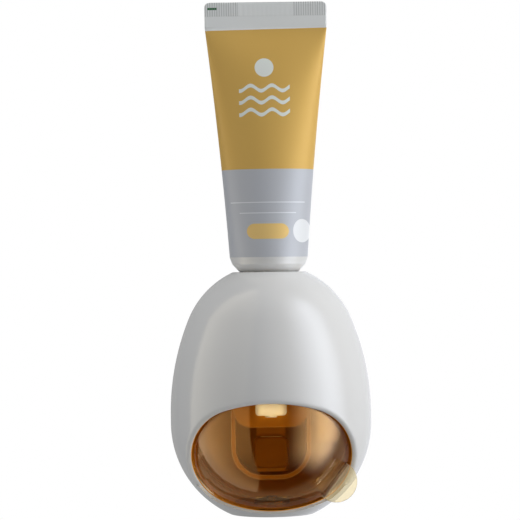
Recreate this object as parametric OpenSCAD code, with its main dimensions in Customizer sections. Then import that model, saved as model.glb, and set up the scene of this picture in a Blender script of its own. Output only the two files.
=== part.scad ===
// Wall-mounted toothpaste dispenser: an egg-shaped squeezer with a turning
// dust cover, holding one upright laminate tube.
// The wall is the plane y = 0 and the front faces -Y.

/* [Egg body] */
// Largest radius of the egg
belly_r = 45; // [43:0.5:47]
// Radius of the long flank arc
flank_r = 111; // [105:1:118]
// Radius of the crown arc
crown_r = 39.5; // [38:0.5:41]
// Height of the straight band at the belly
band_h = 4; // [2:0.5:6]
// Height of the rim above the belly
top_h = 63.5; // [62.5:0.25:64.5]
// Radius of the flat base
base_r = 19; // [18:0.1:20]
// Wall of the shells
wall = 2.4; // [2:0.1:2.8]
// Radius of the round hole in the crown
crown_hole_r = 14.3; // [14:0.1:14.6]
// Distance of the seam between the shells behind the egg's axis
seam_v = 18; // [17:0.5:20]
// Depth of the tongue along the seam
tongue_d = 1.5; // [1:0.1:2]

/* [Mouth] */
// Rim left between the mouth's side and the egg's outline
rim_side = 9.4; // [9:0.2:12]
// Rim left between the mouth and the flat base
rim_low = 3.1; // [3:0.1:5]
// Height of the mouth's top above the belly
mouth_top = 7; // [5:0.1:8]
// Radius of the mouth's two ends
mouth_end_r = 22; // [21:0.1:22.6]
// Drop of the middle of the mouth's ends below the belly
mouth_drop = 17.3; // [17:0.1:17.8]

/* [Dust cover] */
// Gap between the shell and the dust cover
cover_gap = 0.5; // [0.4:0.05:0.7]
// Wall of the dust cover
cover_t = 2; // [1.6:0.1:2.2]
// Half of the arc that the dust cover spans, degrees
cover_half = 70; // [69:0.5:72]
// Height of the dust cover's top edge above the belly
cover_top = 11; // [10:0.25:11.5]
// Radius of the pivot boss under the dust cover
pivot_r = 4; // [3.5:0.25:4.5]
// Radius of the finger tab
tab_r = 9.1; // [8.8:0.1:9.8]
// Thickness of the finger tab
tab_t = 1.6; // [1.4:0.1:2]
// Distance from the egg's outline in to the finger tab's root
tab_inset = 7.7; // [7.4:0.1:8.6]
// Direction of the finger tab's root below the level, degrees
tab_angle = 41.2; // [40:0.1:42]
// Tilt of the finger tab, degrees
tab_tilt = 37.5; // [36:0.1:39]
// Height of the finger tab's front over the egg's skin at its root
tab_stand = 1.6; // [1.2:0.1:2.4]

/* [Chassis] */
// Outer width of the chassis tray
tray_w = 36; // [35:0.5:38]
// Drop of the tray's bottom below the belly
tray_drop = 30.2; // [29.8:0.1:31]
// Outer corner radius of the tray
tray_corner_r = 14; // [10:0.5:15]
// Wall of the tray
tray_t = 2; // [1.6:0.1:2.2]
// Distance of the tray's back face behind the egg's axis
tray_back_v = 19; // [18.8:0.1:20]
// Distance of the tray's front edge behind the egg's axis
tray_front_v = 3; // [2:0.25:4]
// Thickness of the shelf that carries the inlet
shelf_t = 2; // [1.6:0.1:2.4]
// Distance of the chassis screws out from the tray's side
screw_side = 4; // [3.5:0.25:5]
// Heights of the chassis screws above the belly
tray_screw_w = [17, 34];

/* [Pump] */
// Step of the pump cover's side in from the tray's side
pump_step = 1.4; // [1.2:0.1:1.7]
// Drop of the pump cover's bottom below the belly
pump_drop = 5.6; // [5:0.1:7]
// Wall of the pump cover
pump_t = 2; // [1.6:0.1:2.2]
// Distance of the pump cover's face ahead of the egg's axis
pump_face_v = 11.5; // [11:0.25:12]
// Radius of the squeeze bulb
bulb_r = 9; // [8.5:0.1:9.2]
// Wall of the squeeze bulb
bulb_t = 1.1; // [0.8:0.1:1.4]
// Height of the bulb's lower end above the belly
bulb_low_w = 16; // [15.5:0.25:17]
// Bore radius of the paste passages
passage_r = 2.6; // [2:0.1:3]
// Thickness of the valve flanges
valve_t = 1.2; // [1:0.1:1.4]
// Radius of the valve flanges
valve_r = 4.5; // [4.2:0.1:5]
// Height of the outlet duct above the belly
duct_w = 6; // [5.5:0.25:6.5]
// Outer radius of the outlet duct
duct_r = 4.5; // [4.2:0.1:4.8]
// Width of the nozzle
nozzle_w = 13.6; // [12:0.2:14]
// Height of the nozzle block
nozzle_h = 12; // [11.5:0.25:12.5]
// Length of the nozzle block from front to back
nozzle_len = 8.5; // [8:0.25:9]

/* [Lever] */
// Distance of the lever's pin behind the egg's axis
pin_v = 12; // [11.5:0.1:12.5]
// Height of the lever's pin above the belly
pin_w = 10; // [9.5:0.25:10.5]
// Radius of the lever's pin
pin_r = 1.5; // [1.3:0.1:1.7]
// Width of the lever's arms
lever_w = 13; // [11:0.5:14]
// Width of the push pad
pad_w = 15.8; // [15:0.2:17]
// Height of the push pad
pad_h = 14.4; // [13.5:0.2:15]
// Drop of the push pad's middle below the belly
pad_drop = 17.8; // [17.5:0.1:18.2]
// Thickness of the push pad
pad_t = 3.4; // [3:0.1:3.6]
// Mean radius of the return spring
spring_r = 3.6; // [3:0.1:4]
// Wire diameter of the return spring
wire_d = 0.7; // [0.5:0.05:0.8]
// Turns of the return spring
spring_turns = 4; // [3:1:5]

/* [Tube] */
// Diameter of the filled tube
tube_d = 35; // [34:0.2:36]
// Height of the tube's shoulder above the egg's rim
shoulder_stand = 6.5; // [6:0.1:7]
// Length of the tapering sleeve of the tube
sleeve_h = 103; // [90:1:110]
// How much narrower than a straight taper the sleeve is at its middle, as a share
sleeve_waist = 0.27; // [0.1:0.01:0.4]
// Height of the flat crimp
crimp_h = 11.4; // [9:0.2:13]
// Thickness of the flat crimp
crimp_t = 1.4; // [1:0.1:1.8]
// Radius of the tube's neck
neck_r = 7; // [6.7:0.1:7.3]
// Length of the tube's neck
neck_h = 9; // [8:0.25:10]

/* [Wall mount] */
// Width of the adhesive pad and the plate's back layer
plate_w = 30; // [28:1:32]
// Height of the wall plate
plate_h = 40; // [36:1:42]
// Thickness of the adhesive pad
foam_t = 1; // [0.8:0.1:1.4]
// Thickness of the plate's back layer
plate_back_t = 2; // [1.8:0.1:2.4]
// Thickness of the plate's front layer
plate_front_t = 1.6; // [1.4:0.1:2]
// Step from the back layer to the wider front layer
plate_step = 3; // [2:0.25:4]
// Clearance around the plate in its pocket
plate_clear = 0.2; // [0.15:0.05:0.3]
// Thickness left between the pocket and the inside of the egg
pocket_wall = 2; // [1.6:0.1:2.4]
// Gap between the wall and the back of the housing
wall_gap = 1.4; // [1.2:0.1:1.8]

/* [Fasteners] */
// Shank radius of the screws
screw_r = 1.1; // [0.9:0.05:1.3]
// Head radius of the screws
head_r = 2.3; // [2.1:0.1:2.6]
// Head height of the screws
head_h = 1.6; // [1.4:0.1:1.8]
// Length of the chassis screws
screw_len = 9; // [8:0.5:10]
// Length of the rear cover screws
rear_screw_len = 13; // [12:0.5:15]
// Sideways place of the rear cover screws
rear_screw_x = 30; // [29:0.25:31]
// Height of the rear cover screws above the belly
rear_screw_w = 25; // [24:0.25:26]
// Radius of the screw bosses
boss_r = 3; // [2.8:0.1:3.3]

/* [Hidden] */
$fn = 96;

// Slack that lets one piece run or slip in another
run = 0.05;
slip = 0.02;
// Overshoot of a cut past the face that it opens
over = 1;
big = 200;

// Thickness of everything between the wall and the pocket's floor
plate_stack = foam_t + plate_back_t + plate_front_t;
pocket_floor_y = plate_stack + plate_clear;
axis_y = -(pocket_floor_y + pocket_wall + belly_r - wall);
// Height of the belly under the middle of the wall plate
belly_z = -6;
plate_mid_w = -belly_z;
back_v = -axis_y - wall_gap;

crown_z = sqrt(pow(flank_r - crown_r, 2) - pow(flank_r - belly_r, 2));
flank_x = belly_r - flank_r;
base_h = band_h + sqrt(belly_r * belly_r - base_r * base_r);
mouth_a = belly_r - rim_side;

cover_o = wall + cover_gap;
floor_w = wall - base_h;
disc_w = floor_w + cover_gap;
disc_r = base_r - 0.5;
collar_r = 7;
washer_r = 8;
washer_t = 0.8;

// How far ahead of the egg's axis the cut of the mouth ends
mouth_back_v = 5;

guide_gap = 1;
guide_w = cover_top + guide_gap;
guide_t = 2;
guide_seat = 0.8;
guide_lip_t = 1.5;
guide_lip_h = 5;

// Finger tab: its root in the x-w plane and its front
tab_reach = belly_r - tab_inset;
tab_x = tab_reach * cos(tab_angle);
tab_drop = band_h + tab_reach * sin(tab_angle);
tab_v = sqrt(belly_r * belly_r - tab_reach * tab_reach) + tab_stand;

tray_in = tray_w / 2 - tray_t;
tray_screw_x = tray_w / 2 + screw_side;
pump_w = tray_w - 2 * pump_step;
sleeve_groove_r = 6;
sleeve_lip_t = 2;
sleeve_lip_r = 7.5;
sleeve_r = 9.2;
sleeve_floor_t = 2.3;
head_drop = 12.5;
neck_gap = 0.2;
seat_gap = 0.3;
shoulder_w = top_h + shoulder_stand;
shelf_w = shoulder_w - head_drop - neck_h - neck_gap - sleeve_floor_t - shelf_t;
sleeve_top_w = shoulder_w - head_drop - seat_gap;
bulb_top_w = shelf_w - sleeve_lip_t - valve_t;
bulb_taper = 6;
bulb_neck_r = 5;
duct_top_w = bulb_low_w - valve_t;
duct_body_r = 6;
duct_floor_t = 1;
duct_low_w = duct_w - duct_r - duct_floor_t;
duct_spout = 5.5;
duct_front_v = pump_face_v + duct_spout;
nozzle_gap = 1;
nozzle_back_v = pump_face_v + nozzle_gap;
nozzle_front_v = nozzle_back_v + nozzle_len;
nozzle_rise = 6.2;
nozzle_low_w = duct_w + nozzle_rise - nozzle_h;
outlet_inset = 3;
outlet_v = nozzle_front_v - outlet_inset;

barrel_r = 3.2;
barrel_play = 0.3;
barrel_len = 2 * (tray_in - barrel_play);
pad_v = 1;
pad_back_v = pad_v + pad_t;
lever_foot = 1.6;
lever_clear = 0.6;
arm_short = 7;
arm_drop = 10;
lever_low_w = -pad_drop - pad_h / 2 - lever_foot;
spring_w = -8;
lever_thick = 4;
spring_seat_v = pad_back_v + lever_thick;
spring_front_v = spring_seat_v + run;
tray_panel_v = tray_back_v - tray_t;

tube_r = tube_d / 2;
crimp_w = PI * tube_d / 2;
crimp_low_w = shoulder_w + sleeve_h;
neck_low_w = shoulder_w - head_drop - neck_h;
neck_clear = 0.15;
head_room = 8;

// Pedestal of the rear cover: what it leaves round the plate, its corners and
// how far behind the seam it starts
pedestal_side = 5;
pedestal_end = 4;
pedestal_corner_r = 8;
pedestal_start = 10;
plate_corner_r = 5;
// Plastic left under the heads of the rear screws
rear_seat = 3;
nut_rim = 3.4;
nut_h = 4;
clip_t = 0.8;
clip_rim = 1.5;
clip_play = 0.1;
spigot_len = 5;
pad_rim = 2.5;
shoulder_lip = 3.1;
shoulder_fall = 6;

// Draws its children in the egg's own frame: origin on the egg's axis at
// the belly, +Y towards the wall
module in_egg() translate([0, axis_y, belly_z]) children();

// Cylinder that runs back along +Y from the place (x, v, w)
module along_v(x, v, w, r, len) translate([x, v, w]) rotate([-90, 0, 0]) cylinder(r = r, h = len);

// Slab of the egg's frame from v0 to v1
module slab(v0, v1) translate([-big / 2, v0, -big / 2]) cube([big, v1 - v0, big]);

// Rounded rectangle about the origin
module rounded(w, h, r) {
    square([w - 2 * r, h], center = true);
    square([w, h - 2 * r], center = true);
    for (x = [-1, 1], y = [-1, 1]) translate([x * (w / 2 - r), y * (h / 2 - r)]) circle(r);
}

// Upright outline of width w from low up to high, its two lower corners rounded
module round_foot(w, low, high, r) {
    translate([-w / 2, low + r]) square([w, high - low - r]);
    translate([r - w / 2, low]) square([w - 2 * r, 2 * r]);
    for (x = [-1, 1]) translate([x * (w / 2 - r), low + r]) circle(r);
}

// Flat outline in the x-w plane, given thickness from v0 back to v1
module plate_v(v0, v1) translate([0, v1, 0]) rotate([90, 0, 0]) linear_extrude(v1 - v0) children();

// Half profile of the egg, drawn inward by o, from three arcs and a band
module egg_half(o = 0) {
    reach = 3 * crown_z;
    far = [-2 * flank_x, reach];
    intersection() {
        union() {
            intersection() {
                translate([0, -band_h]) circle(belly_r - o);
                translate([0, -2 * belly_r]) square([2 * belly_r, 2 * belly_r - band_h]);
            }
            translate([0, -band_h]) square([belly_r - o, band_h]);
            intersection() {
                translate([flank_x, 0]) circle(flank_r - o);
                polygon([[0, 0], [far[0], 0], far, [0, crown_z]]);
            }
            intersection() {
                translate([0, crown_z]) circle(crown_r - o);
                polygon([[0, crown_z], far, [0, reach]]);
            }
        }
        translate([0, o - base_h]) square([2 * belly_r, base_h + top_h - 2 * o]);
    }
}

module egg(o = 0) rotate_extrude() egg_half(o);

// Outline of the mouth: two end arcs, joined by a flatter arc above and one below
module mouth() {
    end_x = mouth_a - mouth_end_r;
    for (side = [0, 1]) {
        reach = side == 0 ? mouth_drop + mouth_top : base_h - rim_low - mouth_drop;
        broad_r = (reach * reach + end_x * end_x - mouth_end_r * mouth_end_r) / (2 * (reach - mouth_end_r));
        meet_x = broad_r * end_x / (broad_r - mouth_end_r);
        translate([0, -mouth_drop]) mirror([0, side]) intersection() {
            translate([0, reach - broad_r]) circle(broad_r);
            translate([-meet_x, -over]) square([2 * meet_x, 2 * reach]);
        }
    }
    for (s = [-1, 1]) translate([s * end_x, -mouth_drop]) circle(mouth_end_r);
}

// Radius of the egg, drawn inward by o, at the height w
function egg_r(o, w) =
    w > crown_z ? sqrt(pow(crown_r - o, 2) - pow(w - crown_z, 2)) :
    w > 0 ? flank_x + sqrt(pow(flank_r - o, 2) - w * w) :
    w > -band_h ? belly_r - o : sqrt(pow(belly_r - o, 2) - pow(w + band_h, 2));

// Places of the chassis screws and the rear cover screws, as [x, w]
tray_screws = [for (x = [-1, 1], w = tray_screw_w) [x * tray_screw_x, w]];
rear_screws_at = [for (x = [-1, 1]) [x * rear_screw_x, rear_screw_w]];
ear_t = 2;
ear_v = 14;
rear_seat_v = seam_v + rear_seat;

// Screw with its head's underside at the origin and its shank along -Y
module screw(len) {
    difference() {
        along_v(0, 0, 0, head_r, head_h);
        for (a = [0, 90]) translate([0, head_h, 0]) rotate([0, a, 0])
            cube([head_r * 1.3, head_h, 0.6], center = true);
    }
    along_v(0, -len, 0, screw_r, len);
}

// Outline of the wall plate, with rounded upper corners
module plate_outline(w, h) mirror([0, 1]) round_foot(w, -h / 2, h / 2, plate_corner_r);

module adhesive_pad() color("gray")
    plate_v(-foam_t, 0) rounded(plate_w - 2, plate_h - 2, 3);

module wall_plate() color("whitesmoke") {
    plate_v(-foam_t - plate_back_t, -foam_t) plate_outline(plate_w, plate_h);
    plate_v(-plate_stack, -foam_t - plate_back_t)
        plate_outline(plate_w + 2 * plate_step, plate_h);
}

module front_shell() color("white") in_egg() difference() {
    union() {
        // skin, with the tongue along its seam
        difference() {
            union() {
                difference() {
                    egg();
                    slab(seam_v, big);
                }
                difference() {
                    egg(wall / 2 + run);
                    slab(seam_v + tongue_d, big);
                }
            }
            egg(wall);
        }
        // bosses for the chassis and for the rear cover, trimmed by the shell
        intersection() {
            egg(wall / 2);
            union() {
                for (p = tray_screws) along_v(p[0], -belly_r, p[1], boss_r, belly_r + ear_v);
                for (p = rear_screws_at) along_v(p[0], -belly_r, p[1], boss_r, belly_r + seam_v);
            }
        }
        // pivot boss with its thrust collar
        translate([0, 0, floor_w - wall / 2]) {
            cylinder(r = pivot_r, h = wall / 2 + cover_gap + cover_t + run);
            cylinder(r = collar_r, h = wall / 2 + cover_gap - run);
        }
    }
    translate([0, 0, shelf_w]) cylinder(r = crown_hole_r, h = big);
    plate_v(-2 * belly_r, -mouth_back_v) mouth();
    for (p = tray_screws) along_v(p[0], ear_v - screw_len - over, p[1], screw_r + slip, big);
    for (p = rear_screws_at)
        along_v(p[0], rear_seat_v - rear_screw_len - over, p[1], screw_r + slip, big);
    translate([0, 0, floor_w - wall / 2 + 0.2]) cylinder(r = screw_r + slip, h = big / 2);
}

module rear_cover() color("white") in_egg() difference() {
    union() {
        difference() {
            union() {
                intersection() {
                    egg();
                    slab(seam_v, big);
                }
                // pedestal that stands out to the wall
                translate([0, 0, plate_mid_w]) plate_v(seam_v + pedestal_start, back_v)
                    rounded(plate_w + 2 * (plate_step + pedestal_side), plate_h + 2 * pedestal_end,
                        pedestal_corner_r);
            }
            egg(wall);
            // rebate for the front shell's tongue
            intersection() {
                egg(wall / 2);
                slab(seam_v - over, seam_v + tongue_d + run);
            }
        }
        // tubes for the screws
        intersection() {
            egg(wall / 2 + run);
            for (p = rear_screws_at) along_v(p[0], seam_v, p[1], boss_r, belly_r);
        }
    }
    // groove that seats the cover guide
    rotate_extrude() intersection() {
        egg_half(wall - guide_seat - 2 * run);
        translate([0, guide_w - run]) square([belly_r, guide_t + 2 * run]);
    }
    // pocket for the wall plate, open at the bottom
    translate([0, 0, plate_mid_w]) {
        pocket_v(plate_w, -axis_y - foam_t - plate_back_t, big);
        pocket_v(plate_w + 2 * plate_step, -axis_y - pocket_floor_y,
            -axis_y - foam_t - plate_back_t + plate_clear);
    }
    for (p = rear_screws_at) {
        along_v(p[0], seam_v - over, p[1], screw_r + 2 * run, big);
        along_v(p[0], rear_seat_v, p[1], head_r + 2 * run, big);
    }
}

// One layer of the pocket, for a plate layer of width w between v0 and v1
module pocket_v(w, v0, v1) {
    gap_w = w + 2 * plate_clear;
    plate_v(v0, v1) {
        translate([0, plate_clear / 2]) plate_outline(gap_w, plate_h + plate_clear);
        translate([-gap_w / 2, -plate_h]) square([gap_w, plate_h]);
    }
}

// Ring that guides the dust cover's top edge. Its rear half sits in the rear
// cover's groove and its front half fits inside the front shell
module cover_guide() color("white") in_egg() {
    lip_r = egg_r(cover_o + cover_t, cover_top) - 0.3;
    difference() {
        union() {
            intersection() {
                union() {
                    egg(wall + run);
                    intersection() {
                        egg(wall - guide_seat);
                        slab(seam_v + tongue_d + 2 * run, big);
                    }
                }
                translate([0, 0, guide_w]) cylinder(r = belly_r, h = guide_t);
            }
            translate([0, 0, guide_w - guide_lip_h]) cylinder(r = lip_r, h = guide_lip_h + guide_t);
        }
        translate([0, 0, -belly_r]) cylinder(r = lip_r - guide_lip_t, h = 2 * belly_r);
    }
}

module chassis() color("whitesmoke") in_egg() difference() {
    union() {
        plate_v(tray_front_v, tray_back_v)
            round_foot(tray_w, -tray_drop, shelf_w + shelf_t, tray_corner_r);
        // shelf that carries the inlet
        translate([-tray_w / 2, -pump_face_v, shelf_w])
            cube([tray_w, pump_face_v + tray_back_v, shelf_t]);
        // ears for the chassis screws
        for (p = tray_screws) {
            along_v(p[0], ear_v, p[1], boss_r + 0.8, ear_t);
            translate([min(p[0], 0), ear_v, p[1] - boss_r - 0.8])
                cube([abs(p[0]), ear_t, 2 * (boss_r + 0.8)]);
        }
    }
    plate_v(tray_front_v - over, tray_panel_v)
        round_foot(2 * tray_in, tray_t - tray_drop, shelf_w, tray_corner_r - tray_t);
    translate([0, 0, shelf_w - over]) cylinder(r = sleeve_groove_r + run, h = shelf_t + 2 * over);
    for (p = tray_screws) along_v(p[0], 0, p[1], screw_r + 2 * run, tray_panel_v);
    translate([-tray_w, pin_v, pin_w]) rotate([0, 90, 0]) cylinder(r = pin_r + slip, h = 2 * tray_w);
}

module pump_cover() color("whitesmoke") in_egg() {
    in_w = pump_w - 2 * pump_t;
    corner_r = 8;
    tongue_w = 2 * tray_in - 0.2;
    difference() {
        union() {
            plate_v(-pump_face_v, tray_front_v) round_foot(pump_w, -pump_drop, shelf_w, corner_r);
            // tongues that plug into the tray
            plate_v(tray_front_v - over, tray_front_v + 3) difference() {
                round_foot(tongue_w, pump_t - pump_drop, shelf_w, corner_r - pump_t);
                translate([0, (shelf_w - pump_drop) / 2]) square([tongue_w - 2, big], center = true);
            }
        }
        plate_v(pump_t - pump_face_v, tray_front_v + big)
            round_foot(in_w, pump_t - pump_drop, shelf_w, corner_r - pump_t);
        along_v(0, -big / 2, duct_w, duct_r - run, big / 2);
    }
    // outlet duct: down from the bulb, then forward to the nozzle
    difference() {
        union() {
            translate([0, 0, duct_low_w]) cylinder(r = duct_body_r, h = duct_top_w - duct_low_w);
            along_v(0, -duct_front_v, duct_w, duct_r, duct_front_v);
        }
        translate([0, 0, duct_w]) cylinder(r = passage_r, h = big);
        along_v(0, -duct_front_v - over, duct_w, passage_r, duct_front_v + over);
    }
}

module nozzle() color("ivory") in_egg() {
    mid_w = nozzle_low_w + nozzle_h / 2;
    tip_r = 2.6;
    tip_h = 0.8;
    difference() {
        union() {
            translate([0, 0, mid_w]) plate_v(-nozzle_front_v, -nozzle_back_v)
                rounded(nozzle_w, nozzle_h, 1.6);
            translate([0, -outlet_v, nozzle_low_w - tip_h]) cylinder(r = tip_r, h = tip_h + over);
        }
        along_v(0, -duct_front_v, duct_w, duct_r + run, big);
        along_v(0, -outlet_v, duct_w, passage_r, big);
        translate([0, -outlet_v, nozzle_low_w - tip_h - over])
            cylinder(r = passage_r * 0.7, h = duct_w - nozzle_low_w + tip_h + over);
    }
}

// Check valve: flange with a slit dome that points down, flange top at the origin
module valve() {
    dome_r = passage_r - 2 * run;
    difference() {
        union() {
            translate([0, 0, -valve_t]) cylinder(r = valve_r, h = valve_t);
            translate([0, 0, -valve_t - 1]) cylinder(r = dome_r, h = 1 + valve_t / 2);
            translate([0, 0, -valve_t - 1]) sphere(r = dome_r);
        }
        translate([0, 0, -valve_t - 1]) sphere(r = dome_r - 0.6);
        translate([0, 0, -valve_t - 1]) cylinder(r = dome_r - 0.6, h = big);
        translate([0, 0, -valve_t - dome_r]) cube([1.6, 0.3, 2 * dome_r], center = true);
    }
}

module outlet_valve() color("lightgray") in_egg() translate([0, 0, bulb_low_w]) valve();

module inlet_valve() color("lightgray") in_egg() translate([0, 0, bulb_top_w + valve_t]) valve();

module squeeze_bulb() color("lightgray") in_egg() rotate_extrude() {
    low = bulb_low_w;
    high = bulb_top_w;
    difference() {
        polygon([[0, low], [bulb_neck_r, low], [bulb_neck_r, low + 2], [bulb_r, low + bulb_taper],
            [bulb_r, high - bulb_taper], [bulb_neck_r, high - 2], [bulb_neck_r, high], [0, high]]);
        polygon([[-over, low - over], [passage_r, low - over], [passage_r, low + 2.6],
            [bulb_r - bulb_t, low + bulb_taper + 0.6], [bulb_r - bulb_t, high - bulb_taper - 0.6],
            [passage_r, high - 2.6], [passage_r, high + over], [-over, high + over]]);
    }
}

module inlet_sleeve() color("ivory") in_egg() rotate_extrude() {
    low = shelf_w - sleeve_lip_t;
    seat = shelf_w + shelf_t;
    bore = neck_r + neck_clear;
    polygon([[passage_r, low], [sleeve_lip_r, low], [sleeve_lip_r, shelf_w - slip],
        [sleeve_groove_r, shelf_w - slip], [sleeve_groove_r, seat + slip], [sleeve_r, seat + slip],
        [sleeve_r, sleeve_top_w], [bore + 0.8, sleeve_top_w], [bore, sleeve_top_w - 1.5],
        [bore, seat + sleeve_floor_t], [passage_r, seat + sleeve_floor_t]]);
}

// Collar that holds the sleeve down on the shelf
module sleeve_nut() color("whitesmoke") in_egg() translate([0, 0, shelf_w + shelf_t]) difference() {
    nut_r = sleeve_r + nut_rim;
    cylinder(r = nut_r, h = nut_h);
    translate([0, 0, -over]) cylinder(r = sleeve_r + run, h = nut_h + 2 * over);
    for (a = [0 : 30 : 330]) rotate([0, 0, a]) translate([nut_r + 0.8, 0, 1])
        cylinder(r = 1.4, h = nut_h);
}

pin_half = tray_w / 2 + clip_t + over;

module lever_pin() color("silver") in_egg() translate([-pin_half, pin_v, pin_w]) rotate([0, 90, 0])
    cylinder(r = pin_r, h = 2 * pin_half);

// Open spring clips at the two ends of the pin
module pin_clips() color("silver") in_egg() for (s = [-1, 1])
    translate([s * (tray_w / 2 + clip_play + clip_t / 2), pin_v, pin_w]) rotate([0, 90, 0])
        linear_extrude(clip_t, center = true) difference() {
            circle(pin_r + clip_rim);
            circle(pin_r + slip);
            translate([0, -pin_r * 0.8]) square([4 * pin_r, pin_r * 1.6]);
        }

// Return spring between the lever and the tray's back panel: one tube of six
// sides swept along a helix about the v axis
rings = 8 * spring_turns;
spring_len = tray_panel_v - run - spring_front_v;
spring_pitch = (spring_len - wire_d) / spring_turns;
function coil_at(i) =
    let (a = 360 * i / 8)
    [spring_r * cos(a), spring_front_v + wire_d / 2 + spring_pitch * i / 8, spring_w + spring_r * sin(a)];
function coil_ring(i) =
    let (a = 360 * i / 8, rise = atan(spring_pitch / (2 * PI * spring_r)))
    [for (k = [0 : 5]) let (b = 60 * k, u = wire_d / 2 * cos(b), t = wire_d / 2 * sin(b))
        coil_at(i) + [u * cos(a) + t * sin(rise) * sin(a), t * cos(rise), u * sin(a) - t * sin(rise) * cos(a)]];
spring_gap = min([for (i = [0 : rings - 8], j = [i + 6 : min(i + 10, rings)])
    norm(coil_at(i) - coil_at(j))]) - wire_d;
module return_spring() color("silver") in_egg() {
    echo("least gap of the return spring to itself, mm", spring_gap);
    polyhedron(
        points = [for (i = [0 : rings]) each coil_ring(i)],
        faces = concat(
            [[for (k = [0 : 5]) k]],
            [[for (k = [5 : -1 : 0]) 6 * rings + k]],
            [for (i = [0 : rings - 1], k = [0 : 5])
                let (n = (k + 1) % 6) each [[6 * i + k, 6 * i + 6 + k, 6 * i + 6 + n],
                    [6 * i + k, 6 * i + 6 + n, 6 * i + n]]]));
}

washer_w = disc_w + cover_t + run;
module cover_washer() color("silver") in_egg() translate([0, 0, washer_w]) difference() {
    cylinder(r = washer_r, h = washer_t);
    translate([0, 0, -over]) cylinder(r = screw_r + slip, h = washer_t + 2 * over);
}

module cover_screw() color("silver") in_egg() translate([0, 0, washer_w + washer_t])
    rotate([90, 0, 0]) screw(washer_w + washer_t - floor_w + wall / 2 - 0.4);

module chassis_screws() color("silver") in_egg() for (p = tray_screws)
    translate([p[0], ear_v + ear_t, p[1]]) screw(screw_len);

module rear_screws() color("silver") in_egg() for (p = rear_screws_at)
    translate([p[0], rear_seat_v, p[1]]) screw(rear_screw_len);

module dust_cover() color("orange", 0.7) in_egg() {
    difference() {
        union() {
            rotate([0, 0, -90 - cover_half]) rotate_extrude(angle = 2 * cover_half) intersection() {
                difference() {
                    egg_half(cover_o);
                    egg_half(cover_o + cover_t);
                }
                translate([0, -2 * belly_r]) square([belly_r, 2 * belly_r + cover_top]);
            }
            translate([0, 0, disc_w]) cylinder(r = disc_r, h = cover_t);
        }
        translate([0, 0, disc_w - over]) cylinder(r = pivot_r + run, h = cover_t + 2 * over);
    }
    cover_tab();
}

// Finger tab: a half disc that faces the front, on a web that stands on the cover
module cover_tab() {
    web_t = 1.8;
    web_end_v = 8.5;
    translate([tab_x, 0, -tab_drop]) rotate([0, tab_tilt, 0]) plate_v(-tab_v, tab_t - tab_v)
        intersection() {
            circle(tab_r);
            translate([-web_t, -big / 2]) square([big, big]);
        }
    difference() {
        translate([tab_x, 0, -tab_drop]) rotate([0, tab_tilt, 0]) plate_v(-tab_v, -web_end_v)
            translate([-web_t, -tab_r * 0.97]) square([web_t, tab_r * 1.94]);
        egg(cover_o + cover_t / 2);
    }
}

// Side profile of the lever in the v-w plane. Its upper arm stands behind the
// bulb, it passes under the duct, and its lower arm carries the pad
module lever_side() {
    arm_v = bulb_r + lever_clear;
    top_w = bulb_top_w - arm_short;
    duct_v = duct_body_r + lever_clear;
    polygon([[arm_v, top_w], [pin_v, top_w], [pin_v + 1.5, pin_w + barrel_r + 1],
        [pin_v + 2, pin_w - 2], [pin_v, pin_w - barrel_r - arm_short],
        [spring_seat_v, spring_w + spring_r + 1], [spring_seat_v, spring_w - spring_r - 1],
        [pad_back_v + 3, spring_w - spring_r - 3], [pad_back_v + 3, lever_low_w],
        [pad_back_v, lever_low_w], [pad_back_v, duct_low_w - arm_drop],
        [duct_v, duct_low_w - lever_clear * 4], [duct_v + 1, duct_low_w],
        [duct_v + 2, pin_w - barrel_r - 1], [arm_v, pin_w + barrel_r + 1]]);
    translate([pin_v, pin_w]) circle(barrel_r);
}

module push_lever() color("dimgray") in_egg() difference() {
    union() {
        translate([-lever_w / 2, 0, 0]) rotate([90, 0, 90]) linear_extrude(lever_w) lever_side();
        translate([-barrel_len / 2, pin_v, pin_w]) rotate([0, 90, 0])
            cylinder(r = barrel_r, h = barrel_len);
        // spigot that centres the return spring
        along_v(0, pad_back_v + 1, spring_w, spring_r - wire_d / 2 - 0.4, spigot_len);
    }
    translate([-big / 2, pin_v, pin_w]) rotate([0, 90, 0]) cylinder(r = pin_r + run, h = big);
}

module push_pad() color("dimgray") in_egg() translate([0, 0, -pad_drop]) difference() {
    hull() {
        plate_v(pad_v + 1, pad_back_v) rounded(pad_w, pad_h, 3, $fn = 32);
        plate_v(pad_v, pad_v + 1) rounded(pad_w - 2, pad_h - 2, 2.4, $fn = 32);
    }
    plate_v(pad_v - over, pad_v + 0.5)
        rounded(pad_w - 2 * pad_rim, pad_h - 2 * pad_rim, 1.6);
}

// Laminate sleeve of the filled tube: round at the shoulder, flat at the
// crimp, with the same length round all the way
sleeve_shares = [0, 0.18, 0.38, 0.57, 0.73, 0.85, 0.93, 0.98, 1];
sleeve_sides = 36;
function sleeve_ring(t) =
    let (wide = t - sleeve_waist * t * (1 - t), a = tube_r + (crimp_w / 2 - 4 * run - tube_r) * wide,
        b = max(tube_r * pow(1 - wide, 0.58), crimp_t / 2 - run))
    [for (k = [0 : sleeve_sides - 1]) let (q = 360 * (k + 0.5) / sleeve_sides)
        [a * cos(q), b * sin(q), shoulder_w + (sleeve_h + over) * t]];
module tube_body() color("goldenrod") in_egg() {
    n = sleeve_sides;
    last = len(sleeve_shares) - 1;
    polyhedron(
        points = [for (t = sleeve_shares) each sleeve_ring(t)],
        faces = concat(
            [[for (k = [0 : n - 1]) k]],
            [[for (k = [n - 1 : -1 : 0]) n * last + k]],
            [for (i = [0 : last - 1], k = [0 : n - 1])
                let (m = (k + 1) % n) each [[n * i + k, n * i + n + k, n * i + n + m],
                    [n * i + k, n * i + n + m, n * i + m]]]));
    translate([0, 0, crimp_low_w + crimp_h / 2]) cube([crimp_w, crimp_t, crimp_h], center = true);
}

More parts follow.
